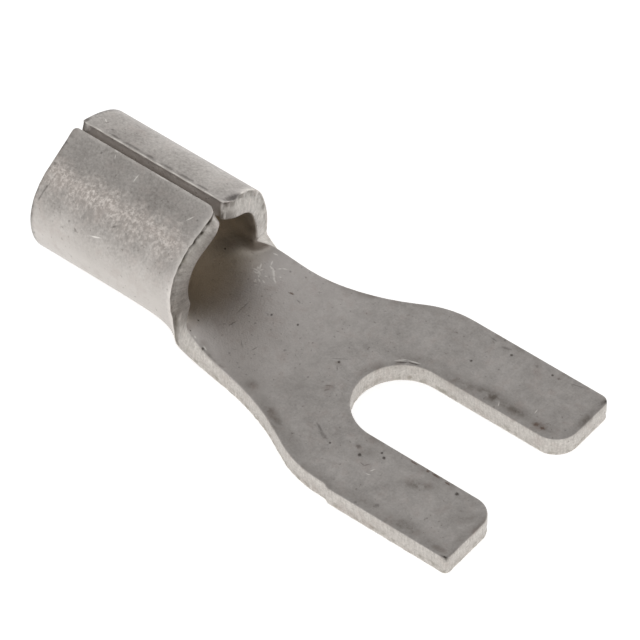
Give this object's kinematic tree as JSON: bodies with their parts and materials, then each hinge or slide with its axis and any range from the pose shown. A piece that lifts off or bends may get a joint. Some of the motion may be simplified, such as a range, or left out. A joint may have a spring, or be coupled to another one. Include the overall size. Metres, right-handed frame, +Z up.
{
  "type": "fork terminal",
  "caption": "Stamped fork terminal with an open stud slot between flat tines, a flared neck and a rolled butt-seam wire barrel.",
  "frame": {"origin": "on the stud's axis, the centre of the slot's round end, in the plane of the underside", "axes": "+X towards the tine tips, +Z up along the stud towards the seam side, +Y to the left"},
  "size_m": [0.0296, 0.0138, 0.0083],
  "materials": {
    "tinned_copper": "matte tin plate over copper, sheared edges paler"
  },
  "bodies": {
    "root": {"fork_terminal": "tinned_copper"}
  },
  "joints": []
}
